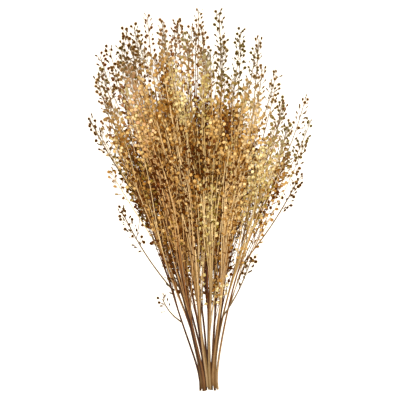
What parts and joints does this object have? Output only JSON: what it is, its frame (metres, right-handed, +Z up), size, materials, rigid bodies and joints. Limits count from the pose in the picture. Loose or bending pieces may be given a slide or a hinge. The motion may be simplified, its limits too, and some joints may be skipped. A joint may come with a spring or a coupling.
{
  "type": "dried pepperweed bunch",
  "caption": "Loose bunch of dried pepperweed lying down: slender, branching straw-coloured stems with airy sprays of small flat seed pods.",
  "frame": {"origin": "on the surface, under the middle of the whole bunch's box", "axes": "+Y runs up the bunch from the cut ends to the tips, +X is across it and +Z is up from the surface it lies on"},
  "size_m": [0.277, 0.4732, 0.1091],
  "materials": {
    "straw_stem": "dry, matte golden straw",
    "olive_stem": "dry, matte olive yellow straw",
    "russet_stem": "dry, matte reddish brown"
  },
  "bodies": {
    "root": {"seed_stem_01": "straw_stem", "seed_stem_02": "straw_stem", "seed_stem_03": "russet_stem", "seed_stem_04": "straw_stem", "seed_stem_05": "olive_stem", "seed_stem_06": "straw_stem", "seed_stem_07": "straw_stem", "seed_stem_08": "olive_stem", "seed_stem_09": "straw_stem", "seed_stem_10": "straw_stem", "seed_stem_11": "russet_stem", "seed_stem_12": "straw_stem", "seed_stem_13": "olive_stem", "seed_stem_14": "straw_stem", "seed_stem_15": "straw_stem", "seed_stem_16": "olive_stem", "seed_stem_17": "straw_stem", "seed_stem_18": "straw_stem", "seed_stem_19": "russet_stem", "seed_stem_20": "straw_stem", "seed_stem_21": "olive_stem", "seed_stem_22": "straw_stem"}
  },
  "joints": []
}
